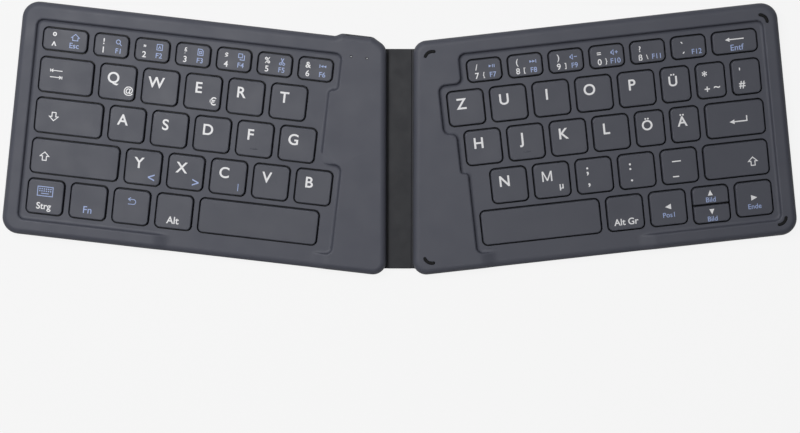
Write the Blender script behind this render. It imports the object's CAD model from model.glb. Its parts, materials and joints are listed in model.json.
# %% [markdown]
# # A folding keyboard, dressed
#
# The CAD model gives the frame: where each shell, key and hinge line is, and how it moves. This script puts
# the visible surfaces round it: moulded shells with soft edges, dished keycaps with printed legends, and the
# strip that bends like a book's spine. Every piece rides on the CAD body that it belongs to.
# %% Load the CAD frame
import json
import math

import bpy
import numpy as np
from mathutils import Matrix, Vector
from mathutils.geometry import delaunay_2d_cdt


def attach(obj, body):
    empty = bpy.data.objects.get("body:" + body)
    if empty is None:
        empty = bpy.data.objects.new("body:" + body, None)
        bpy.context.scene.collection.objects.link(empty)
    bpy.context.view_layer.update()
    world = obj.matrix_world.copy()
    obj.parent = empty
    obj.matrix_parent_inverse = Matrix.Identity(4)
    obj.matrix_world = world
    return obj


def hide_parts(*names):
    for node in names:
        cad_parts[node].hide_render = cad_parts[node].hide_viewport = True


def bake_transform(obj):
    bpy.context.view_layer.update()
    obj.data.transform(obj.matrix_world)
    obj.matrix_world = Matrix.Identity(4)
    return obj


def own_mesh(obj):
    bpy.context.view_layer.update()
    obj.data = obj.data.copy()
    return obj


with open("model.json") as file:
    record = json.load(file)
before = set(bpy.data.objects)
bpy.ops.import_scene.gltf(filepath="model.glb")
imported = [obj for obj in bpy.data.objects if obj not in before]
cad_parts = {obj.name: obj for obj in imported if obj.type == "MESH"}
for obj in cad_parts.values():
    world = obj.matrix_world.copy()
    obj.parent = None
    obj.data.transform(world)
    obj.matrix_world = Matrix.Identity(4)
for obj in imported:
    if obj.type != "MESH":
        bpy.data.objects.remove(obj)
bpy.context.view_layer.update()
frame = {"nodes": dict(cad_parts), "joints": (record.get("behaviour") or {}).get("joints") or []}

# %% [markdown]
# ## Sizes
#
# All sizes are in millimetres, as in the CAD source, and each mesh is turned to metres at the very end.
# A half has its own plan frame: u runs from the strip to the outer edge, v from front to back.
# %% Sizes of a half
HALF_LEN, HALF_DEPTH = 138.5, 85.9
SPLAY = math.radians(6.5)
OUTER_R, INNER_R, EDGE_R = 6.2, 5.0, 2.5
SEAM_Z, DECK_Z, DECK_TOP, CAP_TOP, TOP_Z = 2.5, 4.4, 5.3, 6.4, 6.9
CONTACT_Z = 1.8
left_fold = next(j for j in frame["joints"] if j["name"] == "left_fold")
FOLD_X, HINGE_Y = -1000 * left_fold["pos_m"][0], 1000 * left_fold["pos_m"][1]
HALF_X = FOLD_X + 0.2
print("fold lines at x = +-%.2f mm, middle of the strip at y = %.2f mm" % (FOLD_X, HINGE_Y))

# %% Rows of keys, from the outer end of each row towards the strip
KEY_GAP, KEY_WEB, TRAVEL = 0.4, 1.85, 1.3
LETTER, NUMBER, NARROW, FRONT, SPACE = 13.9, 13.2, 11.1, 14.05, 44.7


def letters(names):
    """One (node, opening width) pair for each letter key."""
    return [("key_" + c, LETTER) for c in names]


ROWS = {
    -1: [
        [("number_keys_left", 17.0)] + [("number_keys_left", NUMBER)] * 6,
        [("modifier_keys_left", 20.3)] + letters("qwert"),
        [("modifier_keys_left", 25.3)] + letters("asdfg"),
        [("modifier_keys_left", 32.9)] + letters("yxcvb"),
        [("modifier_keys_left", FRONT)] * 4 + [("space_bar_left", SPACE)],
    ],
    1: [
        [("number_keys_right", 17.0)] + [("number_keys_right", NUMBER)] * 6,
        [("punctuation_keys", NARROW)] * 2 + [("umlaut_keys", NARROW)] + letters("poiuz"),
        [("modifier_keys_right", 22.1)] + [("umlaut_keys", NARROW)] * 2 + letters("lkjh"),
        [("modifier_keys_right", 24.3)] + [("punctuation_keys", LETTER)] * 3 + letters("mn"),
        [("arrow_keys", FRONT)] * 3 + [("modifier_keys_right", FRONT), ("space_bar_right", SPACE)],
    ],
}
ROW_SPANS = [(25.55, 34.35), (10.15, 23.55), (-4.85, 8.55), (-19.85, -6.45), (-34.85, -21.45)]
ROWS_END = HALF_LEN - 8.2
# The two stacked arrow keys share one opening, which is a little deeper: (side, row, place in the row)
STACK, STACK_EXTRA = (1, 4, 1), 0.8


def openings(side):
    """Each opening of the deck as (row, place in the row), (u low, u high, v low, v high), node."""
    found = []
    for r, (row, (v_low, v_high)) in enumerate(zip(ROWS[side], ROW_SPANS)):
        u = ROWS_END
        for k, (node, width) in enumerate(row):
            extra = STACK_EXTRA if (side, r, k) == STACK else 0
            found.append(((r, k), (u - width, u, v_low - extra, v_high), node))
            u -= width + KEY_WEB
    return found


def caps(side):
    """Each keycap as its place (side, row, place in the row, part), its box (u low, u high, v low, v high)
    and its node. Two stacked caps share an opening."""
    found = []
    for at, (u0, u1, v0, v1), node in openings(side):
        cuts = [v0 + KEY_GAP, v1 - KEY_GAP]
        if (side, *at) == STACK:
            cuts[1:1] = [(v0 + v1 - KEY_GAP) / 2, (v0 + v1 + KEY_GAP) / 2]
        for part in range(len(cuts) // 2):
            box = (u0 + KEY_GAP, u1 - KEY_GAP, *cuts[2 * part:2 * part + 2])
            found.append(((side, *at, part), box, node))
    return found


print("openings", len(openings(-1)), "+", len(openings(1)), "caps", len(caps(-1)) + len(caps(1)))

# %% [markdown]
# ## From arrays to meshes
#
# A patch is three arrays: points, the direction that the surface faces at each point, and faces of four
# corners (a triangle repeats its last corner). Patches are made apart and welded where their points meet,
# and the directions, which come from each shape's own formula, become the mesh's normals. So a flat face
# next to a rounded edge stays flat in the light.
# %% Half frame to shared frame
def to_frame(side, plan, z):
    """Points of a half: X = side (half_x + u cos t - v sin t), Y = hinge_y + u sin t + v cos t, Z = z."""
    plan = np.asarray(plan, float)
    c, s = math.cos(SPLAY), math.sin(SPLAY)
    x = side * (HALF_X + plan[..., 0] * c - plan[..., 1] * s)
    y = HINGE_Y + plan[..., 0] * s + plan[..., 1] * c
    return np.stack([x, y, np.broadcast_to(z, x.shape)], -1)


def joined(plan, z):
    """A plan of (u, v) and a height for each point, as (u, v, z)."""
    return np.concatenate([plan, np.broadcast_to(z, plan.shape[:-1])[..., None]], -1)


def turned(side, d):
    """Directions (du, dv, dz) of a half in the shared frame, by the same rotation and mirror."""
    c, s = math.cos(SPLAY), math.sin(SPLAY)
    out = np.stack([side * (d[..., 0] * c - d[..., 1] * s), d[..., 0] * s + d[..., 1] * c, d[..., 2]], -1)
    return out / np.linalg.norm(out, axis=-1, keepdims=True)


# %% Welding patches into one mesh
def kept_corners(faces):
    """A corner is kept if its face's next corner is another point, so folded quads become triangles."""
    keep = faces != np.roll(faces, -1, axis=1)
    keep[keep.sum(1) < 3] = False
    return keep


def welded(patches):
    """Joins patches: points closer than a ten-thousandth of a millimetre become one, and each patch is
    turned so that its faces run anticlockwise round the direction that its surface faces. Faces that
    shrink to a line, and points that no face uses, are left out."""
    points = np.concatenate([p.reshape(-1, 3) for p, _, _ in patches])
    normals = np.concatenate([n.reshape(-1, 3) for _, n, _ in patches])
    faces, start = [], 0
    for p, _, f in patches:
        f = f + start
        start += p.size // 3
        across = np.cross(points[f[:, 2]] - points[f[:, 0]], points[f[:, 3]] - points[f[:, 1]])
        faces.append(f if (across * normals[f].sum(1)).sum() > 0 else f[:, ::-1])
    faces = np.concatenate(faces)
    corner_normals = normals[faces]
    _, first, place = np.unique(np.round(points, 4), axis=0, return_index=True, return_inverse=True)
    faces = place.reshape(-1)[faces]
    whole = kept_corners(faces).any(1)
    used, faces = np.unique(faces[whole], return_inverse=True)
    return points[first[used]], faces.reshape(-1, 4), corner_normals[whole]


def with_thickness(points, faces, corner_normals, wall):
    """A closed shell: the surface again, moved in by the wall and turned round, joined at the free edges."""
    keep = kept_corners(faces)
    n = len(points)
    up = np.zeros((n, 3))
    np.add.at(up, faces[keep], corner_normals[keep])
    up /= np.linalg.norm(up, axis=1, keepdims=True)
    inner = faces[:, ::-1] + n
    a, b = faces[keep], np.roll(faces, -1, axis=1)[keep]
    key = np.minimum(a, b) * n + np.maximum(a, b)
    _, place, count = np.unique(key, return_inverse=True, return_counts=True)
    free = count[place.reshape(-1)] == 1
    a, b = a[free], b[free]
    rim = np.stack([b, a, a + n, b + n], 1)
    both = np.concatenate([points, points - wall * up])
    flat = np.cross(both[rim[:, 2]] - both[rim[:, 0]], both[rim[:, 3]] - both[rim[:, 1]])
    flat /= np.linalg.norm(flat, axis=1, keepdims=True) + 1e-12
    normals = np.concatenate([corner_normals, -up[faces[:, ::-1]], np.repeat(flat[:, None], 4, 1)])
    return both, np.concatenate([faces, inner, rim]), normals


# %% Making the Blender object
def placed(name, data):
    """An object of that name in the scene, at the origin."""
    thing = bpy.data.objects.new(name, data)
    bpy.context.scene.collection.objects.link(thing)
    return thing


def make_piece(name, shape, material):
    """A mesh object at the origin from (points in mm, faces, corner normals), with one material."""
    points, faces, corner_normals = shape
    keep = kept_corners(faces)
    counts = keep.sum(1)
    counts = counts[counts > 0]
    mesh = bpy.data.meshes.new(name)
    mesh.vertices.add(len(points))
    mesh.vertices.foreach_set("co", (points * 0.001).astype(np.float32).ravel())
    mesh.loops.add(int(counts.sum()))
    mesh.loops.foreach_set("vertex_index", faces[keep].astype(np.int32))
    mesh.polygons.add(len(counts))
    mesh.polygons.foreach_set("loop_start", (np.cumsum(counts) - counts).astype(np.int32))
    mesh.update(calc_edges=True)
    mesh.polygons.foreach_set("use_smooth", np.ones(len(counts), bool))
    mesh.normals_split_custom_set(corner_normals[keep].tolist())
    mesh.materials.append(material)
    piece = placed(name, mesh)
    return piece


# %% [markdown]
# ## Outlines
#
# Shells, key wells, openings and keycaps all start from an outline with rounded corners. Each point of an
# outline also knows its outward direction, so that an edge can be rounded by moving the outline in while it
# rises. That is how a fillet is swept in a CAD program too.
# %% Rounded outlines
def ray(angle):
    """Directions (cos a, sin a) of angles in radians."""
    return np.stack([np.cos(angle), np.sin(angle)], -1)


def rounded_loop(corners, radii, step=None):
    """An anticlockwise outline through corners, each replaced by an arc of its radius that touches both
    sides, and the straight runs cut every step mm. Gives the points and their outward directions."""
    corners = np.asarray(corners, float)
    points, outward = [], []
    n = len(corners)
    for i in range(n):
        a, b = corners[i] - corners[i - 1], corners[(i + 1) % n] - corners[i]
        a, b = a / np.linalg.norm(a), b / np.linalg.norm(b)
        turn = math.atan2(a[0] * b[1] - a[1] * b[0], a @ b)
        sign, r = (1 if turn >= 0 else -1), radii[i]
        centre = corners[i] - a * r * math.tan(abs(turn) / 2) + sign * r * np.array([-a[1], a[0]])
        steps = max(int(math.ceil(abs(turn) / math.radians(9))), 1) if r else 0
        angle = math.atan2(-a[0], a[1]) + turn * np.linspace(0, 1, steps + 1)
        d = ray(angle)
        points.append(centre + sign * r * d)
        outward.append(d)
    if step:
        for i in range(n):
            start, end = points[i][-1], points[(i + 1) % n][0]
            cuts = int(np.linalg.norm(end - start) // step)
            t = np.linspace(0, 1, cuts + 2)[1:-1, None]
            points[i] = np.concatenate([points[i], start + t * (end - start)])
            outward[i] = np.concatenate([outward[i], np.repeat(outward[i][-1:], cuts, 0)])
    return np.concatenate(points), np.concatenate(outward)


def rectangle(box, radii):
    """A rounded rectangle as an outline, with its radii from the front outer corner on."""
    u0, u1, v0, v1 = box
    return rounded_loop([(u1, v0), (u1, v1), (u0, v1), (u0, v0)], radii)


print("outline points of a rounded rectangle:", len(rectangle((0, 2, 0, 1), [0.3] * 4)[0]))

# %% A profile carried round an outline
def ring_faces(around, along):
    """Faces of a grid whose first direction is closed."""
    i, j = np.meshgrid(np.arange(around), np.arange(along - 1), indexing="ij")
    a, b = (i * along + j).ravel(), (((i + 1) % around) * along + j).ravel()
    return np.stack([a, b, b + 1, a + 1], 1)


def swept(side, loop, profile, shape=None):
    """A profile carried round an outline. The profile's rows are: how far in, height, and the part of the
    surface's direction that points outwards and upwards. shape may change the points and directions."""
    points, outward = loop
    inset, z, n_out, n_up = np.asarray(profile, float).T
    plan = points[:, None] - inset[:, None] * outward[:, None]
    local, d = joined(plan, z), joined(n_out[:, None] * outward[:, None], n_up)
    if shape:
        local, d = shape(local, d)
    return to_frame(side, local[..., :2], local[..., 2]), turned(side, d), ring_faces(*plan.shape[:2])


def quarter(radius, top, inward, steps=6):
    """Profile of an edge rounded by radius below the height top, from its flat top to its upright side.
    inward is 1 where the solid lies inside the outline and -1 round a hole."""
    a = np.linspace(0, math.pi / 2, steps + 1)
    return np.stack([inward * radius * (1 - np.sin(a)), top - radius * (1 - np.cos(a)),
                     inward * np.sin(a), np.cos(a)], 1)


print("rows of a rounded edge's profile:", len(quarter(EDGE_R, TOP_Z, 1)))

# %% A flat fill between outlines
def filled(side, loops, z, shape=None):
    """The flat area inside the first outline and outside the others, cut into triangles that use only the
    outlines' own points. A triangle is kept if a ray from its middle crosses the outlines an odd number
    of times, and if it is no sliver between points of one straight side."""
    points = np.concatenate(loops)
    ends = np.cumsum([len(l) for l in loops])
    nxt = np.arange(1, len(points) + 1)
    nxt[ends - 1] = ends - [len(l) for l in loops]
    edges = np.stack([np.arange(len(points)), nxt], 1)
    found, _, tris, origin, *_ = delaunay_2d_cdt([Vector(p) for p in points], edges.tolist(), [], 0, 1e-6)
    # Blender's vectors have single precision, so the points are taken from the outlines again
    verts = np.array([points[o[0]] if o else tuple(v) for o, v in zip(origin, found)])
    tris = np.array(tris)
    corner = verts[tris]
    middle, ab, ac = corner.mean(1), corner[:, 1] - corner[:, 0], corner[:, 2] - corner[:, 0]
    area = np.abs(ab[:, 0] * ac[:, 1] - ab[:, 1] * ac[:, 0]) / 2
    a, b = points[:, None], points[nxt][:, None]
    spans = (a[..., 1] > middle[:, 1]) != (b[..., 1] > middle[:, 1])
    rise = np.where(b[..., 1] == a[..., 1], 1, b[..., 1] - a[..., 1])
    cross_at = a[..., 0] + (b[..., 0] - a[..., 0]) * (middle[:, 1] - a[..., 1]) / rise
    tris = tris[((spans & (middle[:, 0] < cross_at)).sum(0) % 2 == 1) & (area > 1e-7)]
    local, d = joined(verts, z), np.tile([0.0, 0.0, 1.0], (len(verts), 1))
    if shape:
        local, d = shape(local, d)
    return to_frame(side, local[:, :2], local[:, 2]), turned(side, d), tris[:, [0, 1, 2, 2]]


print("triangles in a filled square:", len(filled(1, [rectangle((0, 1, 0, 1), [0] * 4)[0]], 0)[2]))

# %% [markdown]
# ## The upper shells
#
# Each half's top is one injection-moulded shell in ABS with a matt soft-touch coat. Its outer edge is
# rounded by 2.5 mm. The rim steps down to the deck in a steep S-shaped slope, and the key openings have small
# rounded lips. In front, beyond each space bar's inner end, the rim dips to the deck so that the thumbs
# reach the bars. A boolean model would give hard edges here, so the shell is made of swept profiles and
# flat fills that share their outlines' points.
# %% The thumb dip
SCOOP_LEN, SCOOP_RAMP = 66.0, 7.0
SCOOP_U = {-1: 16.95, 1: 20.3}


def smooth(t):
    """0 before 0, 1 after 1, and 3 t^2 - 2 t^3 between."""
    t = np.clip(t, 0, 1)
    return t * t * (3 - 2 * t)


def rim_share(side, u, v):
    """How much of the rim's height above the deck is left: 0 in the thumb dip, 1 away from it."""
    at = u - SCOOP_U[side]
    return 1 - smooth(at / SCOOP_RAMP) * smooth((SCOOP_LEN - at) / SCOOP_RAMP) * (v < 0)


def lowered(side, base):
    """Scales heights above base so that the top of the rim comes down with rim_share. A surface scaled by g
    in height, where g changes along u, turns its direction to (nu g - h g_u nz, nv g, nz)."""
    def shape(local, d):
        u, v, h = local[..., 0], local[..., 1], local[..., 2] - base
        low, high = DECK_TOP - base, TOP_Z - base
        def g(at):
            return (low + (high - low) * rim_share(side, at, v)) / high
        slope = (g(u + 0.01) - g(u - 0.01)) / 0.02
        local = np.stack([u, v, base + h * g(u)], -1)
        d = np.stack([d[..., 0] * g(u) - h * slope * d[..., 2], d[..., 1] * g(u), d[..., 2]], -1)
        return local, d + np.array([0, 0, 1e-9])
    return shape


print("thumb dips", SCOOP_LEN, "mm long, ramps", SCOOP_RAMP, "mm")

# %% Outline of a half
PORT_U, HOUSING_LEN, HOUSING_PROUD, HOUSING_R = 15.3, 14.4, 1.2, EDGE_R + 0.3
# The port lies in a window in the housing's back face, and a collar closes the window round the port
WINDOW_HALF, WINDOW_ROW, COLLAR_V, COLLAR_HALF, COLLAR_TOP, COLLAR_R = 4.77, 6, 43.62, 4.52, 5.66, 1.25


def half_outline(side):
    """The half's outline. The left half's port housing stands out at the back and slopes to the corner."""
    back, lean = HALF_DEPTH / 2, math.tan(SPLAY)
    corners = [(-back * lean, -back), (HALF_LEN, -back), (HALF_LEN, back)]
    radii = [INNER_R, OUTER_R, OUTER_R]
    if side == 1:
        corners.append((back * lean, back))
        radii.append(INNER_R)
        return rounded_loop(corners, radii, 1.0)
    # The slope touches the corner's circle and the housing's first circle
    c0 = np.array([(INNER_R + (back - INNER_R) * math.sin(SPLAY)) / math.cos(SPLAY), back - INNER_R])
    c1 = np.array([PORT_U - HOUSING_LEN / 2 + HOUSING_R, back + HOUSING_PROUD - HOUSING_R])
    gap = c1 - c0
    slope = math.atan2(gap[1], gap[0]) - math.asin((INNER_R - HOUSING_R) / np.linalg.norm(gap))
    top = back + HOUSING_PROUD
    touch = c1[0] - HOUSING_R * math.tan(slope / 2)
    reach = (touch - top * lean) / (math.cos(slope) - lean * math.sin(slope))
    corners += [(PORT_U + HOUSING_LEN / 2 + 1.3, back), (PORT_U + HOUSING_LEN / 2 - 0.9, top),
                (PORT_U + WINDOW_HALF, top), (touch, top),
                (touch - reach * math.cos(slope), top - reach * math.sin(slope))]
    return rounded_loop(corners, radii + [2.5, HOUSING_R, 0, HOUSING_R, INNER_R], 1.0)


print("outline points of the left half:", len(half_outline(-1)[0]))

# %% Outline of the key well
WELL_MARGIN, WELL_R = 2.3, 2.4
# First and last row of each step
STEPS = {-1: [(0, 0), (1, 2), (3, 4)], 1: [(0, 0), (1, 1), (2, 2), (3, 4)]}


def row_end(side, r):
    """u of the inner end of a row's last opening."""
    row = ROWS[side][r]
    return ROWS_END - sum(w for _, w in row) - KEY_WEB * (len(row) - 1)


def well_outline(side):
    """The key well, whose edge beside the strip steps in and out with the rows."""
    s = STEPS[side]
    at = [min(row_end(side, r) for r in range(a, b + 1)) - WELL_MARGIN for a, b in s]
    front, back = ROW_SPANS[4][0] - WELL_MARGIN, ROW_SPANS[0][1] + WELL_MARGIN
    far = ROWS_END + WELL_MARGIN
    points, radii = [(far, front), (far, back), (at[0], back)], [WELL_R] * 3
    for i in range(len(s) - 1):
        inwards = at[i + 1] < at[i]
        v = ROW_SPANS[s[i + 1][0]][1] + WELL_MARGIN if inwards else ROW_SPANS[s[i][1]][0] - WELL_MARGIN
        r = min(WELL_R, abs(at[i + 1] - at[i]) / 2)
        points += [(at[i], v), (at[i + 1], v)]
        radii += [r, r]
    return rounded_loop(points + [(at[-1], front)], radii + [WELL_R], 1.0)


print("outline points of the right key well:", len(well_outline(1)[0]))

# %% Circles and arcs
def arc(x, y, r, start=0, sweep=360, n=16):
    """Points on a circle. A full circle leaves out its last point."""
    return np.array([x, y]) + r * ray(np.radians(start + sweep * np.arange(n + (sweep < 360)) / n))


def arc_outline(centre, radius, width, start, sweep):
    """A curved slot with round ends: the outer arc, a half circle, the inner arc back, a half circle."""
    a = np.radians(np.linspace(start, start + sweep, 13))
    e = np.radians(np.linspace(0, 180, 9))[1:-1]
    out = ray(a)
    d = np.concatenate([out, ray(a[-1] + e), -out[::-1], ray(a[0] + math.pi + e)])
    middle = np.concatenate([out, np.repeat(out[-1:], len(e), 0), out[::-1], np.repeat(out[:1], len(e), 0)])
    return np.array(centre) + radius * middle + width / 2 * d, d


def circle_outline(centre, radius, n=24):
    """A circle as an outline."""
    d = arc(0, 0, 1, n=n)
    return np.array(centre) + radius * d, d


def turned_profile(side, centre, path, facing, n=24):
    """A profile of (radius, height) turned round an upright axis, with its directions (outwards, upwards)."""
    return swept(side, circle_outline(centre, 0, n), np.hstack([np.asarray(path) * [-1, 1], facing]))


# %% Slots for the bumpers and holes for the lenses
BUMPER_R, BUMPER_W, BUMPER_MARGIN, BUMPER_DEPTH, BUMPER_SWEEP = 2.8, 1.1, 7.0, 0.7, 80
BUMPER_PROUD, BUMPER_EDGE, BUMPER_GAP = 0.2, 0.35, 0.05


def bumper_outlines(width):
    """The four curved slots near the right half's corners."""
    found = []
    for end in (0, 1):
        for back in (-1, 1):
            v = back * (HALF_DEPTH / 2 - BUMPER_MARGIN)
            u = HALF_LEN - BUMPER_MARGIN if end else (BUMPER_MARGIN + v * math.sin(SPLAY)) / math.cos(SPLAY)
            start = {(1, 1): 2, (1, -1): -90, (0, 1): 73, (0, -1): 197}[end, back]
            found.append(arc_outline((u, v), BUMPER_R, width, start, BUMPER_SWEEP))
    return found


LENS_U = [PORT_U + 1.9, PORT_U + 1.9 - 5.8]
LENS_V, LENS_D = HALF_DEPTH / 2 - 6.8, 0.9
print("lenses at u =", [round(u, 2) for u in LENS_U])

# %% The port's window
def with_window(skirt_patch, outline, skirt):
    """Takes the window out of the left half's skirt, from the row WINDOW_ROW of its profile down, and adds
    the window's two sides, its ceiling, and the collar: a flat plate with the port's rounded opening."""
    points, d, faces = skirt_patch
    loop, outward = outline
    rows = np.arange(WINDOW_ROW, len(skirt))
    def column(u):
        return int(np.argmin(np.abs(loop[:, 0] - u) + 9 * (loop[:, 1] < HALF_DEPTH / 2)))
    first, last = column(PORT_U + WINDOW_HALF), column(PORT_U - WINDOW_HALF)
    i, j = np.divmod(np.arange(len(faces)), len(skirt) - 1)
    kept = faces[(i < first) | (i >= last) | (j < WINDOW_ROW)]
    plan = loop[:, None] - skirt[:, 0, None] * outward[:, None]
    local = joined(plan, skirt[:, 1])
    patches = [(points, d, kept)]
    for edge, facing in ((local[first, rows], (-1, 0, 0)), (local[last, rows], (1, 0, 0)),
                         (local[first:last + 1, WINDOW_ROW], (0, 0, -1))):
        wall = np.stack([edge, np.where([0, 1, 0], COLLAR_V, edge)], 1)
        k = 2 * np.arange(len(edge) - 1)
        patches.append((to_frame(-1, wall[..., :2], wall[..., 2]),
                        turned(-1, np.broadcast_to(np.array(facing, float), wall.shape)),
                        np.stack([k, k + 1, k + 3, k + 2], 1)))
    rows = np.delete(rows, -2)
    right = np.vstack([[COLLAR_HALF, SEAM_Z], arc(COLLAR_HALF - COLLAR_R, COLLAR_TOP - COLLAR_R, COLLAR_R,
                                                  0, 90, 6)])
    opening = np.vstack([right, (right * [-1, 1])[::-1]]) + [PORT_U, 0]
    border = np.vstack([local[last, rows[::-1]][:, [0, 2]], local[first:last, WINDOW_ROW][::-1][:, [0, 2]],
                        local[first, rows[1:]][:, [0, 2]], opening])
    def upright(flat, _):
        return (np.stack([flat[:, 0], np.full(len(flat), COLLAR_V), flat[:, 1]], 1),
                np.tile([0.0, 1.0, 0.0], (len(flat), 1)))
    return patches + [filled(-1, [border], 0, upright)]


print("port opening", 2 * COLLAR_HALF, "mm wide")

# %% The shell itself
SLOPE_R, FOOT_W, LIP_R, OPENING_R, CASE_WALL, SEAM_CUT = 0.8, 1.2, 0.2, 2.2, 0.3, 0.12


def upper_shell(side):
    """Outer side, rim, slope, deck and the walls of every hole, welded and given a wall."""
    outline, well = half_outline(side), well_outline(side)
    rim, deck_level = lowered(side, DECK_TOP), lowered(side, SEAM_Z)
    skirt = np.vstack([quarter(EDGE_R, TOP_Z, 1, 10), [0, SEAM_Z + SEAM_CUT, 1, 0],
                       [0, SEAM_Z + SEAM_CUT, 0.7, -0.7], [SEAM_CUT, SEAM_Z, 0.7, -0.7]])
    # S-shaped slope: a quarter circle over the rim's edge, then a hollow quarter ellipse down to the deck
    a = np.linspace(0, math.pi / 2, 9)
    over = np.stack([SLOPE_R * (np.sin(a) - 1), TOP_Z - SLOPE_R * (1 - np.cos(a)), -np.sin(a), np.cos(a)], 1)
    foot = np.stack([FOOT_W * (1 - np.sin(a)), DECK_TOP + SLOPE_R * (1 - np.cos(a)),
                     -np.sin(a) / FOOT_W, np.cos(a) / SLOPE_R], 1)
    slope = np.vstack([over, foot[-2::-1]])
    outside = swept(side, outline, skirt, deck_level)
    patches = [outside] if side == 1 else with_window(outside, outline, skirt)
    patches.append(swept(side, well, slope, rim))
    if side == 1:
        small = [(loop, 0.2, TOP_Z - BUMPER_DEPTH) for loop in bumper_outlines(BUMPER_W)]
    else:
        small = [(circle_outline((u, LENS_V), LENS_D / 2), 0.08, TOP_Z - 1.1) for u in LENS_U]
    rim_loops = [outline[0] - EDGE_R * outline[1], well[0] + SLOPE_R * well[1]]
    for (points, outward), lip, bottom in small:
        wall = np.vstack([quarter(lip, TOP_Z, -1, 3), [0, bottom, -1, 0]])
        patches.append(swept(side, (points, outward), wall))
        rim_loops.append(points + lip * outward)
    patches.append(filled(side, rim_loops, TOP_Z, rim))
    deck_loops = [well[0] - FOOT_W * well[1]]
    for _, box, _ in openings(side):
        loop = rectangle(box, [OPENING_R] * 4)
        wall = np.vstack([quarter(LIP_R, DECK_TOP, -1, 3), [0, DECK_Z, -1, 0]])
        patches.append(swept(side, loop, wall))
        deck_loops.append(loop[0] + LIP_R * loop[1])
    patches.append(filled(side, deck_loops, DECK_TOP))
    return with_thickness(*welded(patches), CASE_WALL)


# %% [markdown]
# ## Materials
#
# Each material starts from what the real one is. One function turns the sRGB hex values that a designer
# writes into the linear light that Blender works in, and one adds a node with its settings and links.
# %% Colour and node helpers
def linear(hex_colour):
    """sRGB hex to linear RGBA: c / 12.92 below 0.04045, and ((c + 0.055) / 1.055)^2.4 above."""
    c = np.array([int(hex_colour[i:i + 2], 16) / 255 for i in (1, 3, 5)])
    c = np.where(c <= 0.04045, c / 12.92, ((c + 0.055) / 1.055) ** 2.4)
    return (*c.tolist(), 1.0)


def add(tree, kind, inputs=(), **settings):
    """Adds a node. inputs maps a socket's name or number to a value, or to another node's output."""
    node = tree.nodes.new("ShaderNode" + kind)
    for name, value in settings.items():
        setattr(node, name, value)
    for key, value in dict(inputs).items():
        if isinstance(value, bpy.types.NodeSocket):
            tree.links.new(value, node.inputs[key])
        else:
            node.inputs[key].default_value = value
    return node


def new_material(name, base, roughness, metallic=0.0, ior=1.5):
    """A material with one Principled shader and its uniform values. Gives the material, tree and shader."""
    material = bpy.data.materials.new(name)
    material.use_nodes = True
    tree = material.node_tree
    shader = tree.nodes["Principled BSDF"]
    shader.inputs["Base Color"].default_value = linear(base)
    shader.inputs["Roughness"].default_value = roughness
    shader.inputs["Metallic"].default_value = metallic
    shader.inputs["IOR"].default_value = ior
    return material, tree, shader


print("a middle grey, #808080, is", round(linear("#808080")[0], 3), "in linear light")

# %% Patterns
def mottled(tree, shader, low, high, patch_mm, spread=0.25):
    """Colour that drifts between two hex values in patches of about patch_mm."""
    place = add(tree, "TexCoord").outputs["Object"]
    noise = add(tree, "TexNoise", {"Vector": place, "Scale": 1000 / patch_mm, "Detail": 3.0})
    ramp = add(tree, "ValToRGB", {"Fac": noise.outputs["Fac"]})
    ramp.color_ramp.elements[0].position, ramp.color_ramp.elements[1].position = 0.5 - spread, 0.5 + spread
    ramp.color_ramp.elements[0].color, ramp.color_ramp.elements[1].color = linear(low), linear(high)
    tree.links.new(ramp.outputs["Color"], shader.inputs["Base Color"])
    return place


def grained(tree, shader, place, grain_mm, height_mm, strength=0.5):
    """Fine bumps grain_mm apart and about height_mm high."""
    noise = add(tree, "TexNoise", {"Vector": place, "Scale": 1000 / grain_mm, "Detail": 2.0})
    bump = add(tree, "Bump", {"Height": noise.outputs["Fac"], "Distance": height_mm / 1000,
                              "Strength": strength})
    tree.links.new(bump.outputs["Normal"], shader.inputs["Normal"])


def roughened(tree, shader, place, low, high, patch_mm):
    """Roughness that drifts between two values, as handling polishes a coat in places."""
    noise = add(tree, "TexNoise", {"Vector": place, "Scale": 1000 / patch_mm, "Detail": 2.0})
    spread = add(tree, "MapRange", {"Value": noise.outputs["Fac"], "From Min": 0.3, "From Max": 0.7,
                                    "To Min": low, "To Max": high})
    tree.links.new(spread.outputs["Result"], shader.inputs["Roughness"])


def finish_of(name, low, high, patch_mm, grain, roughness, ior=1.5, metallic=0.0, worn=None):
    """A material whose colour drifts from low to high in patches of patch_mm, with grain (size and height in
    mm) and, where worn is given, roughness that drifts too: (from, to, patch in mm)."""
    material, tree, shader = new_material(name, low, roughness, metallic, ior)
    place = mottled(tree, shader, low, high, patch_mm)
    if worn:
        roughened(tree, shader, place, *worn)
    grained(tree, shader, place, *grain)
    return material


# %% [markdown]
# The shells and keycaps are ABS with a thin polyurethane soft-touch coat: a blue grey, matt, with the fine
# sandy grain of a spark-eroded mould under it. The grain is really about 0.1 mm, and is drawn at 0.25 mm so
# that it shows at all.
# %% Soft-touch shells and keycaps
def soft_touch(name, low, high, roughness):
    """Matt coated ABS, IOR 1.5."""
    return finish_of(name, low, high, 22.0, (0.25, 0.012, 0.35), roughness,
                     worn=(roughness - 0.05, roughness + 0.05, 9.0))


case_coat = soft_touch("soft_touch_abs_case", "#4e505b", "#53555f", 0.6)
key_coat = soft_touch("soft_touch_abs_keycap", "#4d4f59", "#51535d", 0.55)
base_coat = soft_touch("moulded_abs_base", "#3d3f45", "#42444a", 0.65)

# %% Make the two upper shells
for side, half in ((-1, "left"), (1, "right")):
    shell = make_piece("case." + half, upper_shell(side), case_coat)
    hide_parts(half + "_top_case")
    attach(shell, half + "_half")
    print(shell.name, len(shell.data.polygons), "faces")

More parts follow.
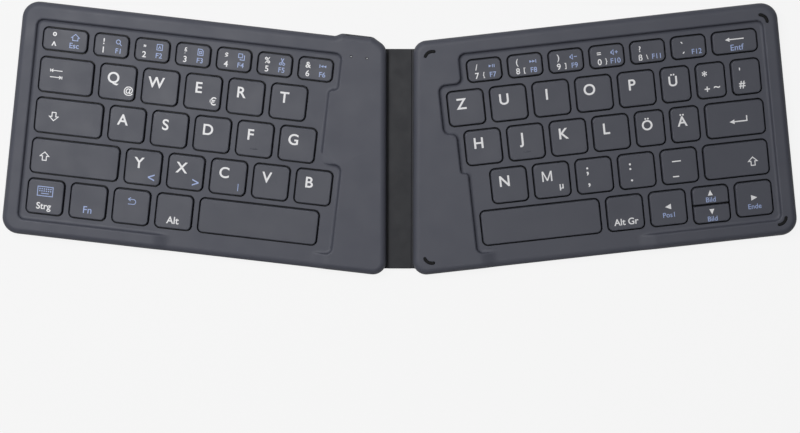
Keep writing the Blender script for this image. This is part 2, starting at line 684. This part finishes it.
# %% [markdown]
# ## Keycaps
#
# A scissor keycap is a thin ABS shell, about 0.7 mm thick, with a flat top, a small rounded edge and short
# sides, which lean in by 0.12 mm so that the cap leaves its mould. The top dips by a hair, which the eye
# reads only in the light. Each cap is one closed profile carried round its outline, from the middle of the
# top to the middle of the underside.
# %% Shape of a keycap
CAP_EDGE, CAP_WALL, CAP_TOP_WALL, CAP_R, DISH, DRAFT = 0.5, 0.7, 0.8, 1.8, 0.08, 0.12
# Stacked caps are shallower than STACKED_DEPTH
STACKED_DEPTH, STACKED_R = 7.0, 0.55
BAR_FROM_FRONT = 2.85


def middle_of(box):
    """The middle of a box in plan."""
    return np.array([(box[0] + box[1]) / 2, (box[2] + box[3]) / 2])


def dip(box, plan):
    """How far the top dips at points in plan: DISH times (1 - (x/a)^2)^2 (1 - (y/b)^2)^2, where x and y are
    measured from the cap's middle and a and b are the half sizes of its flat top. It is level again at the
    edges."""
    half = np.array([box[1] - box[0], box[3] - box[2]]) / 2 - CAP_EDGE
    f = np.clip(1 - ((plan - middle_of(box)) / half) ** 2, 0, 1) ** 2
    return DISH * f[..., 0] * f[..., 1]


def keycap(side, part, box):
    """One keycap as a closed patch. Rings inside the edge are the outline shrunk towards the middle. Two
    stacked caps are nearly square where they face each other."""
    stacked = box[3] - box[2] < STACKED_DEPTH
    front = STACKED_R if stacked and part == 1 else CAP_R
    back = STACKED_R if stacked and part == 0 else CAP_R
    points, outward = rectangle(box, [front, back, back, front])
    middle = middle_of(box)
    shares = np.array([0, 0.25, 0.5, 0.7, 0.85, 0.95])
    edge = quarter(CAP_EDGE - DRAFT, CAP_TOP, 1, 5) + [DRAFT, 0, 0, 0]
    ceiling = CAP_TOP - CAP_TOP_WALL
    down = [[0, DECK_Z, 1, 0], [0, DECK_Z, 0, -1], [CAP_WALL, DECK_Z, 0, -1],
            [CAP_WALL, DECK_Z, -1, 0], [CAP_WALL, ceiling, -1, 0], [CAP_WALL, ceiling, 0, -1]]
    profile = np.vstack([np.tile(edge[0], (len(shares), 1)), edge, down, down[-1:]])
    scale = np.concatenate([shares, np.ones(len(edge) + len(down)), [0]])
    plan = points[:, None] - profile[:, 0, None] * outward[:, None]
    plan = middle + scale[:, None] * (plan - middle)
    top = np.arange(len(profile)) < len(shares)
    z = profile[:, 1] - top * dip(box, plan)
    d = joined(profile[:, 2, None] * outward[:, None], profile[:, 3])
    for axis, e in ((0, np.array([0.01, 0])), (1, np.array([0, 0.01]))):
        d[..., axis] += top * (dip(box, plan + e) - dip(box, plan - e)) / 0.02
    return to_frame(side, plan, z), turned(side, d), ring_faces(*plan.shape[:2])


def finger_bar(side, u, v):
    """The bar that the forefingers find: an ellipsoid 3 mm long, 0.5 mm wide and 0.4 mm high whose middle is
    0.05 mm inside the cap."""
    t = np.linspace(0, 2 * math.pi, 24, endpoint=False)[:, None]
    p = np.linspace(-math.pi / 2, math.pi / 2, 11)
    sphere = joined(ray(t) * np.cos(p)[:, None], np.sin(p))
    half = np.array([1.5, 0.25, 0.2])
    local = [u, v, CAP_TOP - 0.05] + half * sphere
    return to_frame(side, local[..., :2], local[..., 2]), turned(side, sphere / half), ring_faces(24, 11)


# %% Make the keycaps, one piece for each moving key body
KEYS = {}
for side in (-1, 1):
    for place, box, node in caps(side):
        KEYS.setdefault(node, []).append((place, box))
for node, members in KEYS.items():
    patches = [keycap(place[0], place[3], box) for place, box in members]
    if node in ("key_f", "key_j"):
        place, box = members[0]
        patches.append(finger_bar(place[0], middle_of(box)[0], box[2] + BAR_FROM_FRONT))
    cap = make_piece("cap." + node.replace("key_", ""), welded(patches), key_coat)
    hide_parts(node)
    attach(cap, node)
print("keycap pieces", len(KEYS))

# %% [markdown]
# ## Legends
#
# The signs on keys of this kind are pad printed: a film of ink that stands a few hundredths of a millimetre
# above the cap. Letters and numbers come from Blender's own font, made a mesh. The small signs, such as the
# shift arrow or the magnifier, are ribbons of even width along a path, or filled convex outlines. Everything
# is drawn flat in millimetres round the middle of its key and then laid on the dished top.
# %% Flat shapes of ink
def ribbon(path, width, closed=False):
    """A line of even width: each point of the path moves sideways both ways by half the width over the
    cosine of half its turn."""
    p = np.asarray(path, float)
    n = len(p)
    step = np.roll(p, -1, 0) - p if closed else np.diff(p, axis=0, append=2 * p[-1:] - p[-2:-1])
    ahead = step / np.linalg.norm(step, axis=1, keepdims=True)
    behind = np.roll(ahead, 1, 0)
    if not closed:
        behind[0] = ahead[0]
    middle = ahead + behind
    middle /= np.linalg.norm(middle, axis=1, keepdims=True)
    reach = width / 2 / np.maximum((middle * ahead).sum(1, keepdims=True), 0.4)
    sideways = np.stack([-middle[:, 1], middle[:, 0]], 1) * reach
    i = np.arange(n if closed else n - 1)
    j = (i + 1) % n
    return np.concatenate([p + sideways, p - sideways]), np.stack([i, j, j + n, i + n], 1)


def blob(outline):
    """A filled convex outline, as a fan of triangles."""
    i = np.arange(1, len(outline) - 1)
    return np.asarray(outline, float), np.stack([0 * i, i, i + 1, i + 1], 1)


def lines(width, *paths):
    """Open lines of one width, as a list of shapes."""
    return [ribbon(path, width) for path in paths]


def loops(width, *paths):
    """Closed lines of one width, as a list of shapes."""
    return [ribbon(path, width, True) for path in paths]


def block(x0, x1, y0, y1):
    """The four corners of an upright rectangle."""
    return [(x0, y0), (x1, y0), (x1, y1), (x0, y1)]


# %% Letters from the built-in font
WHITE, BLUE = "print.", "print_blue."
# How much bolder than the font each ink is drawn, at text size 1
WEIGHTS = {WHITE: 0.016, BLUE: 0.006}


def flat_text(text, weight):
    """Points and triangles of a text of size 1, its outlines moved out by weight, from a text curve that is
    made a mesh and removed again."""
    curve = bpy.data.curves.new("ink", "FONT")
    curve.body, curve.offset = text, weight
    writer = bpy.data.objects.new("ink", curve)
    mesh = writer.to_mesh()
    mesh.calc_loop_triangles()
    points, tris = np.zeros(len(mesh.vertices) * 3), np.zeros(len(mesh.loop_triangles) * 3, int)
    mesh.vertices.foreach_get("co", points)
    mesh.loop_triangles.foreach_get("vertices", tris)
    writer.to_mesh_clear()
    bpy.data.objects.remove(writer)
    bpy.data.curves.remove(curve)
    return points.reshape(-1, 3)[:, :2], tris.reshape(-1, 3)[:, [0, 1, 2, 2]]


CAPITAL = np.ptp(flat_text("H", 0)[0][:, 1])


def word(text, height, weight, centred=False):
    """A text whose capitals are height mm high, centred on its width. Signs such as a comma are centred on
    their own height as well, and letters stand half a capital below the middle."""
    points, tris = flat_text(text, weight)
    points = points * height / CAPITAL
    low, high = points.min(0), points.max(0)
    points[:, 0] -= (low[0] + high[0]) / 2
    points[:, 1] -= (low[1] + high[1]) / 2 if centred else height / 2
    return points, tris


def pointer(x, y, angle, size=1.0):
    """A filled triangle that points at an angle."""
    return blob([x, y] + size * ray(np.radians(angle + np.array([0, 130, 230]))))


print("capital H of the built-in font:", round(float(CAPITAL), 3), "of the text size")

# %% Signs drawn by hand, in mm
HOUSE = loops(0.28, [(-1.45, -0.05), (0, 1.2), (1.45, -0.05), (0.95, -0.05), (0.95, -1.1), (-0.95, -1.1),
                     (-0.95, -0.05)])
MAGNIFIER = loops(0.28, arc(-0.2, 0.25, 0.75)) + lines(0.28, [(0.35, -0.3), (1.1, -1.05)])
LETTER_M = (lines(0.5, [(-1.6, -1.9), (-1.6, 1.9)], [(1.6, -1.9), (1.6, 1.9)])
            + lines(0.46, [(-1.5, 1.85), (0, -1.6)], [(1.5, 1.85), (0, -1.6)]))
BOXED_A = loops(0.26, block(-1, 1, -1, 1.05)) + [word("A", 1.1, WEIGHTS[WHITE])]
SHEET = loops(0.26, [(-0.95, -1.1), (0.95, -1.1), (0.95, 0.5), (0.35, 1.1), (-0.95, 1.1)],
              block(-0.35, 0.4, -0.5, 0.3))
TWO_SHEETS = loops(0.26, block(-1.1, 0.35, -0.3, 1.1)) + lines(
    0.28, [(0.75, 0.5), (1.1, 0.5), (1.1, -1.1), (-0.4, -1.1), (-0.4, -0.7)])
SCISSORS = (loops(0.24, arc(-0.6, -0.85, 0.4, n=10), arc(0.6, -0.85, 0.4, n=10))
            + lines(0.28, [(-0.4, -0.5), (0.5, 1.2)], [(0.4, -0.5), (-0.5, 1.2)]))


def flipped(shapes, across):
    """The same shapes, turned over: left for right with across (-1, 1), top for bottom with (1, -1)."""
    return [(points * across, faces) for points, faces in shapes]


NEXT = [pointer(-0.75, 0, 0, 0.62), pointer(0.3, 0, 0, 0.62)] + lines(0.28, [(1.2, -0.6), (1.2, 0.6)])
PLAY = [pointer(-0.7, 0, 0, 0.62)] + lines(0.28, *[[(x, -0.55), (x, 0.55)] for x in (0.3, 0.9)])
SPEAKER = [blob(block(-1.4, -1.0, -0.35, 0.35))] + loops(
    0.22, [(-1.0, -0.35), (-0.35, -0.85), (-0.35, 0.85), (-1.0, 0.35)])
SOFTER = SPEAKER + lines(0.28, [(0.2, 0), (1.3, 0)])
LOUDER = SOFTER + lines(0.28, [(0.75, -0.55), (0.75, 0.55)])
TAB = lines(0.3, *[[(x * e, y * e) for x, y in path] for e in (1, -1)
                   for path in ([(-2.2, 0.7), (-2.2, 1.75)], [(-1.9, 1.2), (2.2, 1.2)],
                                [(-1.2, 1.75), (-1.85, 1.2), (-1.2, 0.65)])])
UP_ARROW = loops(0.34, [(0, 1.55), (1.6, 0.05), (0.72, 0.05), (0.72, -1.5), (-0.72, -1.5), (-0.72, 0.05),
                        (-1.6, 0.05)])
ENTER = lines(0.44, [(3.1, 1.4), (3.1, -0.5), (-2.2, -0.5)]) + [pointer(-2.2, -0.5, 180, 1.1)]
BACK = lines(0.4, [(-2.6, 0), (3.4, 0)]) + [pointer(-2.5, 0, 180, 1.0)]
HOOK = lines(0.26, [(-0.4, 1.5), (-1.3, 0.85), (-0.4, 0.2)],
             np.vstack([[(-1.2, 0.85), (0.6, 0.85)], arc(0.6, -0.05, 0.9, 72, -162, 8), [(-1.3, -0.95)]]))
KEYS_ICON = (loops(0.3, block(-2.8, 2.8, -1.7, 1.7))
             + [blob(block(x - 0.22, x + 0.22, y - 0.22, y + 0.22))
                for y in (0.9, 0.1) for x in (-2, -1.2, -0.4, 0.4, 1.2, 2)]
             + lines(0.28, [(-1.4, -0.8), (1.4, -0.8)]))
print("faces in the keyboard sign:", sum(len(f) for _, f in KEYS_ICON))

# %% What is printed where: ink, shapes, x to the reader's right and y to the back, from the key's middle
LEGENDS = {}


def printed(place, *items):
    """Adds signs to the key at (side, row, place in the row, part). A text is (ink, text, x, y, height)."""
    for ink, what, x, y, *height in items:
        shapes = what
        if isinstance(what, str):
            shapes = [word(what, height[0], WEIGHTS[ink], not what[0].isalnum() or what == "\u00b5")]
        LEGENDS.setdefault(place, []).append((ink, shapes, x, y))


for node, members in KEYS.items():
    if node.startswith("key_"):
        letter = LETTER_M if node == "key_m" else node[-1].upper()
        printed(members[0][0], (WHITE, letter, -1.66, 1.64, 3.8))
for k, (upper, icon) in enumerate(zip('!"\u00a7$%&', (MAGNIFIER, BOXED_A, SHEET, TWO_SHEETS, SCISSORS,
                                                  flipped(NEXT, (-1, 1)))), 1):
    printed((-1, 0, k, 0), (WHITE, upper, -2.85, 1.4, 1.75 if upper in "\u00a7$" else 2.1),
            (WHITE, str(k), -2.85, -1.7, 2.1), (BLUE, icon, 2.6, 1.4), (BLUE, "F%d" % k, 2.6, -1.65, 1.8))
for k, (upper, lower, third, icon) in enumerate(zip("/()=?", "7890\u00df", "{[]}\\",
                                                    (PLAY, NEXT, SOFTER, LOUDER, []))):
    printed((1, 0, 6 - k, 0), (WHITE, upper, -2.85, 1.2, 2.0), (WHITE, lower, -2.85, -1.9, 2.1),
            (WHITE, third, -0.4, -1.9, 1.6), (BLUE, icon, 2.8, 1.2), (BLUE, "F%d" % (k + 7), 3.0, -1.9, 1.8))
printed((1, 0, 1, 0), (WHITE, "`", -2.5, 1.8, 2.6), (WHITE, "\u00b4", -2.0, -1.9, 2.6),
        (BLUE, "F12", 2.8, -1.8, 1.8))
printed((1, 0, 0, 0), (WHITE, BACK, 0, 1.0), (BLUE, "Entf", 0.7, -2.0, 2.1))
printed((-1, 0, 0, 0), (WHITE, "\u00b0", -4.0, 1.9, 3.4), (WHITE, "^", -4.0, -1.6, 2.6),
        (BLUE, HOUSE, 3.6, 1.4), (BLUE, "Esc", 3.4, -1.6, 1.9))
printed((-1, 1, 1, 0), (WHITE, "@", 4.3, -2.7, 2.4))
printed((-1, 1, 3, 0), (WHITE, "\u20ac", 3.9, -2.8, 2.7))
for k, text, x, height in ((1, "<", 3.3, 3.4), (2, ">", 3.9, 3.4), (3, "|", 3.9, 2.0)):
    printed((-1, 3, k, 0), (BLUE, text, x, -3.3, height))
printed((1, 3, 4, 0), (WHITE, "\u00b5", 3.3, -2.9, 2.4))
printed((-1, 1, 0, 0), (WHITE, TAB, -3.7, 0.5))
printed((-1, 2, 0, 0), (WHITE, flipped(UP_ARROW, (1, -1)), -5.5, -0.1))
printed((-1, 3, 0, 0), (WHITE, UP_ARROW, -11.2, 0.0))
printed((1, 3, 0, 0), (WHITE, UP_ARROW, 6.0, -1.2))
printed((1, 2, 0, 0), (WHITE, ENTER, 1.1, -0.5))
printed((1, 1, 0, 0), (WHITE, "'", -2.2, 3.0, 2.4), (WHITE, "#", -1.75, -2.8, 2.6))
printed((1, 1, 1, 0), (WHITE, "*", -2.2, 2.7, 3.0), (WHITE, "+", -1.7, -3.0, 2.6),
        (WHITE, "~", 1.9, -2.6, 2.8))
for place, text in (((1, 1, 2, 0), "\u00dc"), ((1, 2, 1, 0), "\u00c4"), ((1, 2, 2, 0), "\u00d6")):
    printed(place, (WHITE, text, -1.0, 1.3, 3.5))
for k, upper, lower in ((2, ":", "."), (3, ";", ",")):
    printed((1, 3, k, 0), (WHITE, upper, -2.4, 1.8, 3.4), (WHITE, lower, -2.2, -3.3, 3.4))
printed((1, 3, 1, 0), (WHITE, lines(0.42, [(-1.65, 0), (1.65, 0)]), -1.0, 1.9),
        (WHITE, lines(0.42, [(-1.15, 0), (1.15, 0)]), -1.7, -3.7))
printed((-1, 4, 0, 0), (WHITE, "Strg", -0.25, -3.3, 2.3), (BLUE, KEYS_ICON, -0.2, 2.1))
printed((-1, 4, 1, 0), (BLUE, "Fn", 0.0, -2.9, 2.5))
printed((-1, 4, 2, 0), (BLUE, HOOK, 0, 2.0))
printed((-1, 4, 3, 0), (WHITE, "Alt", -0.2, -3.1, 2.5))
printed((1, 4, 3, 0), (WHITE, "Alt Gr", 0, -3.2, 2.3))
for k, part, angle, size, x, y, text, low in ((0, 0, 0, 1.35, -0.2, 0.4, "Ende", -2.8),
                                              (1, 1, 90, 1.2, 0, 0.7, "Bild", -1.6),
                                              (1, 0, 270, 1.2, 0, 1.0, "Bild", -1.8),
                                              (2, 0, 180, 1.35, 0.2, 0.5, "Pos1", -2.5)):
    printed((1, 4, k, part), (WHITE, [pointer(0, 0, angle, size)], x, y), (BLUE, text, 0, low, 1.75))
print("keys with a legend:", len(LEGENDS))

# %% Lay the ink on the caps
INKS = {WHITE: finish_of("white_pad_printing_ink", "#f2f2f5", "#fafafb", 2.0, (0.2, 0.006), 0.5, 1.49),
        BLUE: finish_of("light_blue_pad_printing_ink", "#a0b3e1", "#acbde7", 2.0, (0.2, 0.006), 0.5, 1.49)}
FILM_LIFT, FILM_STEP, FILM_WALL = 0.02, 0.003, 0.05


def laid(side, box, shapes, x, y, layer):
    """Flat shapes on a cap's dished top, FILM_LIFT above it, and each later shape FILM_STEP higher."""
    patches = []
    for n, (points, faces) in enumerate(shapes):
        at = middle_of(box) + (points + [x, y]) * [side, 1]
        z = CAP_TOP + FILM_LIFT + FILM_STEP * (layer + n) - dip(box, at)
        patches.append((to_frame(side, at, z), np.tile([0.0, 0.0, 1.0], (len(at), 1)), faces))
    return patches


for node, members in KEYS.items():
    found = {WHITE: [], BLUE: []}
    for place, box in members:
        for layer, (ink, shapes, x, y) in enumerate(LEGENDS.get(place, [])):
            found[ink] += laid(place[0], box, shapes, x, y, layer)
    for ink, patches in found.items():
        if patches:
            shape = with_thickness(*welded(patches), FILM_WALL)
            piece = make_piece(ink + node.replace("key_", ""), shape, INKS[ink])
            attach(piece, node)

# %% [markdown]
# ## Rubber domes and scissor links
#
# Under each cap a silicone dome gives the spring and two crossed link frames keep the cap level. They
# shrink in height as their key goes down, so each key has its own pair of pieces that flatten with it.
# %% Domes
MOUNT_GAP = 0.05
MOUNT_H = CAP_TOP - CAP_TOP_WALL - CONTACT_Z - 2 * MOUNT_GAP
LINK_LEN, LINK_BAR, LINK_ROOM, DOME_R, DOME_CLEAR = 11.0, 0.5, 1.9, 3.0, 1.2


def dome(side, centre, r):
    """A hollow dome as a ring-shaped profile turned round its axis: out along the foot, up the cone, over
    the top and back down inside."""
    top_r, skin = 0.55 * r, 0.3 * r
    path = np.array([[r - skin, 0], [r, 0], [r, 0], [top_r + 0.1, MOUNT_H - 0.3], [top_r - 0.1, MOUNT_H],
                     [0, MOUNT_H]])
    inside = np.array([[0, MOUNT_H - skin], [top_r - skin / 2, MOUNT_H - skin], [r - skin, 0]])
    path = np.vstack([path, inside])
    step = np.gradient(path, axis=0)
    facing = np.stack([step[:, 1], -step[:, 0]], 1)
    return turned_profile(side, centre, path + [0, CONTACT_Z + MOUNT_GAP], facing, 20)


print("dome height", round(MOUNT_H, 2), "mm")

# %% Scissor links
def link_frame(side, centre, length, width, tilt):
    """A rectangular frame of square bars, tilted about its middle: four corners, each with an outer and an
    inner edge, above and below."""
    corners = np.array([[1, -1], [1, 1], [-1, 1], [-1, -1]], float)
    outer = corners * [length / 2, width / 2]
    inner = corners * [length / 2 - LINK_BAR, width / 2 - LINK_BAR]
    ring = np.stack([outer, outer, inner, inner, outer], 1)
    height = np.array([-1, 1, 1, -1, -1]) * LINK_BAR / 2
    c, s = math.cos(tilt), math.sin(tilt)
    x, z = ring[..., 0] * c + height * s, -ring[..., 0] * s + height * c
    plan = centre + np.stack([x, ring[..., 1]], -1)
    points = to_frame(side, plan, CONTACT_Z + MOUNT_GAP + MOUNT_H / 2 + z)
    faces = ring_faces(4, 5)
    flat = points.reshape(-1, 3)[faces]
    across = np.cross(flat[:, 2] - flat[:, 0], flat[:, 3] - flat[:, 1]) * side
    across /= np.linalg.norm(across, axis=1, keepdims=True)
    return flat.reshape(-1, 3), np.repeat(across, 4, 0), np.arange(len(flat) * 4).reshape(-1, 4)


# %% Make the domes and links
silicone, tree, shader = new_material("silicone_rubber_dome", "#d9d9d4", 0.45, ior=1.41)
shader.inputs["Subsurface Weight"].default_value = 0.2
shader.inputs["Subsurface Radius"].default_value = (0.002, 0.002, 0.002)
grained(tree, shader, mottled(tree, shader, "#d2d2cc", "#dddcd7", 4.0), 0.5, 0.02)
acetal = finish_of("acetal_scissor_link", "#141517", "#1a1b1e", 5.0, (0.4, 0.01), 0.35, 1.48)

for node, members in KEYS.items():
    side = members[0][0][0]
    half = "left" if side < 0 else "right"
    domes, links = [], []
    for _, box in members:
        room_u, room_v = box[1] - box[0] - LINK_ROOM, box[3] - box[2] - LINK_ROOM
        domes.append(dome(side, middle_of(box), min(room_v / 2 - DOME_CLEAR, DOME_R)))
        length = min(LINK_LEN, room_u)
        tilt = math.asin((MOUNT_H - LINK_BAR) / length)
        for width, lean in ((room_v, tilt), (room_v - 2 * LINK_BAR - 0.1, -tilt)):
            links.append(link_frame(side, middle_of(box), length, width, lean))
    for kind, patches, material, slot in (("dome.", domes, silicone, "silicone"),
                                          ("links.", links, acetal, "link_plastic")):
        piece = make_piece(kind + node.replace("key_", ""), welded(patches), material)
        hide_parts(half + ("_rubber_domes" if kind == "dome." else "_scissor_links"))
        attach(piece, half + "_half")
        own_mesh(piece)
print("domes", sum(len(members) for members in KEYS.values()))

# %% [markdown]
# ## The strip
#
# The halves are joined by a strip of coated synthetic leather, 0.9 mm thick, with the flat cable inside. It
# reaches 4 mm into each half between the shells. Each side of the strip is one piece that bends at its fold
# line, so that it curves like a book's spine instead of turning rigidly.
# %% Shape of the strip
STRIP_LEN, STRIP_T, FLAP = 81.3, 0.9, 4.0


def channel(x):
    """Depth of the groove beside each half: 0.3 mm, 4.4 to 5.1 mm from the middle, with soft sides."""
    return 0.3 * smooth((x - 4.15) / 0.25) * smooth((5.35 - x) / 0.25)


def band(side, x_out, length, thickness, z_mid, radius, groove=0):
    """A flat bar from the middle of the strip to x_out, closed at both ends: a rounded rectangle in y and z,
    carried along x in steps of about 0.1 mm. Its upper side goes down by groove times channel(x), which turns
    its direction by the slope of that."""
    across, outward = rounded_loop([(length / 2, -thickness / 2), (length / 2, thickness / 2),
                                    (-length / 2, thickness / 2), (-length / 2, -thickness / 2)],
                                   [radius] * 4, 4.0)
    x = np.linspace(0, x_out, int(x_out / 0.1) + 1)
    x_all = np.concatenate([[0, 0], x, [x_out, x_out]])
    scale = np.concatenate([[0, 1], np.ones(len(x)), [1, 0]])
    along = np.zeros(len(x_all))
    along[:2], along[-2:] = -1, 1
    yz = across[:, None] * scale[:, None]
    points = np.stack([np.broadcast_to(side * x_all, yz.shape[:2]), HINGE_Y + yz[..., 0],
                       z_mid + yz[..., 1]], -1)
    flat = (along != 0)[:, None]
    d = np.concatenate([np.broadcast_to(side * along[:, None], yz.shape[:2] + (1,)),
                        np.where(flat, 0, outward[:, None])], -1)
    upper = groove * (across[:, 1, None] > 0)
    points[..., 2] -= upper * channel(x_all)
    d[..., 0] += side * upper * d[..., 2] * (channel(x_all + 0.01) - channel(x_all - 0.01)) / 0.02
    return points, d, ring_faces(*yz.shape[:2])


# %% Leather and cable
leather, tree, shader = new_material("coated_synthetic_leather", "#2b2c30", 0.66, ior=1.46)
place = mottled(tree, shader, "#292a2e", "#2d2e32", 9.0)
roughened(tree, shader, place, 0.56, 0.68, 5.0)
# The grain of coated leather is a net of pebbles about 0.5 mm across
pebbles = add(tree, "TexVoronoi", {"Vector": place, "Scale": 1000 / 0.5}, feature="SMOOTH_F1")
skin = add(tree, "Bump", {"Height": pebbles.outputs["Distance"], "Distance": 0.00002, "Strength": 0.35})
tree.links.new(skin.outputs["Normal"], shader.inputs["Normal"])
polyimide = finish_of("polyimide_flat_cable", "#b07236", "#bd8040", 6.0, (0.6, 0.01), 0.35, 1.7)

STRIP_MID_Z = SEAM_Z - STRIP_T / 2
for side, half in ((-1, "left"), (1, "right")):
    strip = make_piece("strip." + half, welded([band(side, HALF_X + 0.1 + FLAP, STRIP_LEN, STRIP_T,
                                                     STRIP_MID_Z, 0.3, 1)]), leather)
    cable = make_piece("cable." + half, welded([band(side, HALF_X + 0.1 + FLAP, 24, 0.2, STRIP_MID_Z, 0.08)]),
                       polyimide)
    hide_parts("hinge_strip", half + "_strip_flap")
    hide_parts("flex_cable")
    for piece in (strip, cable):
        if side < 0:
            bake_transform(piece)
        else:
            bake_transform(piece)
print("strip", STRIP_LEN, "mm long,", round(2 * HALF_X, 1), "mm between the halves")

# %% [markdown]
# ## Small parts
#
# Four black rubber bumpers keep the right half off the left one when the keyboard is shut. The indicator
# lenses, feet, port, boards and plates keep their CAD shape and get their own material.
# %% Bumpers
rubber = finish_of("nitrile_rubber_bumper", "#07080a", "#0a0b0e", 3.0, (0.3, 0.01), 0.85, 1.52)


def bumper(loop):
    """A ridge that rises above the rim: its rounded sides, its flat top and its flat underside."""
    points, outward = loop
    top, low = TOP_Z + BUMPER_PROUD, TOP_Z - BUMPER_DEPTH
    profile = np.vstack([quarter(BUMPER_EDGE, top, 1, 4), [0, low, 1, 0], [0, low, 0, -1]])
    under, normals, faces = filled(1, [points], low)
    return [swept(1, loop, profile), filled(1, [points - BUMPER_EDGE * outward], top),
            (under, -normals, faces)]


patches = []
for loop in bumper_outlines(BUMPER_W - BUMPER_GAP):
    patches += bumper(loop)
bumpers = make_piece("bumpers", welded(patches), rubber)
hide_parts("corner_bumpers")
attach(bumpers, "right_half")
print("bumpers", len(bumpers.data.polygons), "faces")

# %% Indicator lenses
# Each is a light pipe with a domed end, 0.5 mm across, in a black sleeve that fills the hole in the rim
# A clear polycarbonate light pipe, IOR 1.58, looks white because of the diffuser behind it
lens, tree, shader = new_material("polycarbonate_light_pipe", "#e8eaee", 0.15, ior=1.58)
mottled(tree, shader, "#e2e4e8", "#eef0f4", 1.0)
sleeve = finish_of("black_silicone_sleeve", "#101115", "#15161a", 1.0, (0.2, 0.005), 0.6, 1.41)
PIPE_R, TAIL = 0.24, 1.4

a = np.linspace(0, math.pi / 2, 6)
dome_path = np.stack([PIPE_R * np.sin(a), TOP_Z - 0.12 + 0.12 * np.cos(a)], 1)
pipe_path = np.vstack([dome_path, [[PIPE_R, TOP_Z - TAIL], [PIPE_R, TOP_Z - TAIL], [0, TOP_Z - TAIL]]])
pipe_facing = np.vstack([np.stack([np.sin(a), np.cos(a)], 1), [[1, 0], [0, -1], [0, -1]]])
gap, outer, low, high = PIPE_R + 0.01, LENS_D / 2 - 0.01, TOP_Z - 1.2, TOP_Z - 0.1
ring_path = np.repeat([[gap, low], [gap, high], [outer, high], [outer, low], [gap, low]], 2, 0)[1:]
ring_facing = np.vstack([np.repeat([[-1, 0], [0, 1], [1, 0], [0, -1]], 2, 0), [[-1, 0]]])
for name, path, facing, material in (("lenses", pipe_path, pipe_facing, lens),
                                     ("lens_sleeves", ring_path, ring_facing, sleeve)):
    turns = [turned_profile(-1, (u, LENS_V), path, facing) for u in LENS_U]
    piece = make_piece(name, welded(turns), material)
    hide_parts("indicator_lenses")
    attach(piece, "left_half")
print("lenses", len(LENS_U))

# %% Materials of the CAD nodes that stay
# The steel plate and the contact film are black, so that the gaps between the keys stay dark
NODE_MATERIALS = {
    "bottom_shell": base_coat,
    "key_plate": finish_of("black_coated_steel_plate", "#0d0e10", "#121316", 15.0, (0.3, 0.006), 0.5,
                           worn=(0.45, 0.6, 4.0)),
    "membrane": finish_of("black_polyester_contact_film", "#0e0f11", "#131416", 12.0, (0.8, 0.01),
                          0.45, 1.57),
    "battery": finish_of("laminated_battery_pouch", "#c2c6cc", "#ced2d8", 6.0, (1.5, 0.05), 0.42,
                         metallic=0.9),
    "main_board": finish_of("solder_mask_board", "#1b5235", "#236340", 8.0, (0.5, 0.02), 0.3, 1.55),
    "charging_port": finish_of("drawn_stainless_steel", "#aeb1b5", "#babdc1", 3.0, (0.15, 0.004), 0.3,
                               metallic=1.0),
    "magnets": finish_of("nickel_plated_magnet", "#b4b7bb", "#bec1c5", 4.0, (0.3, 0.004), 0.2,
                         metallic=1.0),
    "feet": finish_of("nitrile_rubber_foot", "#19191c", "#202124", 3.0, (0.4, 0.03), 0.75, 1.52),
}
for name, node in frame["nodes"].items():
    for ending, material in NODE_MATERIALS.items():
        if name.endswith(ending):
            node.data.materials.clear()
            node.data.materials.append(material)
print("CAD nodes with their own material:", len(NODE_MATERIALS))

# %% [markdown]
# ## Floor, light and camera
#
# The photograph is a catalogue picture: white ground, a broad soft light from above, and a camera that
# looks almost straight down. The floor's colour is pale, and the camera and reflections see it almost white.
# %% Floor
floor_mesh = bpy.data.meshes.new("floor")
floor_mesh.from_pydata([(-6, -6, 0), (6, -6, 0), (6, 6, 0), (-6, 6, 0)], [], [(0, 1, 2, 3)])
placed("floor", floor_mesh)
paper, tree, shader = new_material("pale_paper", "#b0b0b0", 0.9)
glow = add(tree, "Emission", {"Color": (1, 1, 1, 1), "Strength": 1.0})
seen = add(tree, "LightPath")
shown = seen.outputs["Is Camera Ray"]
for kind in ("Is Glossy Ray", "Is Transmission Ray"):
    shown = add(tree, "Math", {0: shown, 1: seen.outputs[kind]}, operation="MAXIMUM").outputs[0]
share = add(tree, "Math", {0: shown, 1: 0.88}, operation="MULTIPLY")
mixed = add(tree, "MixShader", {0: share.outputs[0], 1: shader.outputs[0], 2: glow.outputs[0]})
tree.links.new(mixed.outputs[0], tree.nodes["Material Output"].inputs["Surface"])
floor_mesh.materials.append(paper)

# %% Light
world = bpy.data.worlds.new("studio")
bpy.context.scene.world = world
world.use_nodes = True
world.node_tree.nodes["Background"].inputs["Color"].default_value = (1, 1, 1, 1)
world.node_tree.nodes["Background"].inputs["Strength"].default_value = 0.05


def softbox(name, at, towards, size, power):
    """A square lamp of that size in metres at a point, facing another."""
    lamp = bpy.data.lights.new(name, "AREA")
    lamp.size, lamp.energy = size, power
    lamp_object = placed(name, lamp)
    lamp_object.location = at
    lamp_object.rotation_euler = (Vector(towards) - Vector(at)).to_track_quat("-Z", "Y").to_euler()


softbox("key_light", (-0.22, 0.18, 0.62), (-0.05, 0, 0), 0.35, 3.5)
softbox("fill_light", (0.3, 0.1, 1.1), (0, 0, 0), 0.6, 0.6)

# %% Camera
# Place and angles come from fitting the corners of both halves to the photograph
FOCAL_PX, WIDTH_PX = 2200.0, 800
camera_data = bpy.data.cameras.new("camera")
camera_data.lens = FOCAL_PX / WIDTH_PX * camera_data.sensor_width
camera_data.clip_start, camera_data.clip_end = 0.05, 20
camera = placed("camera", camera_data)
camera.location = (-0.00135, 0.04138, 0.81429)
camera.rotation_euler = (-0.0862, -0.0016, 0.0022)
bpy.context.scene.camera = camera
bpy.context.scene.view_settings.view_transform = "Standard"
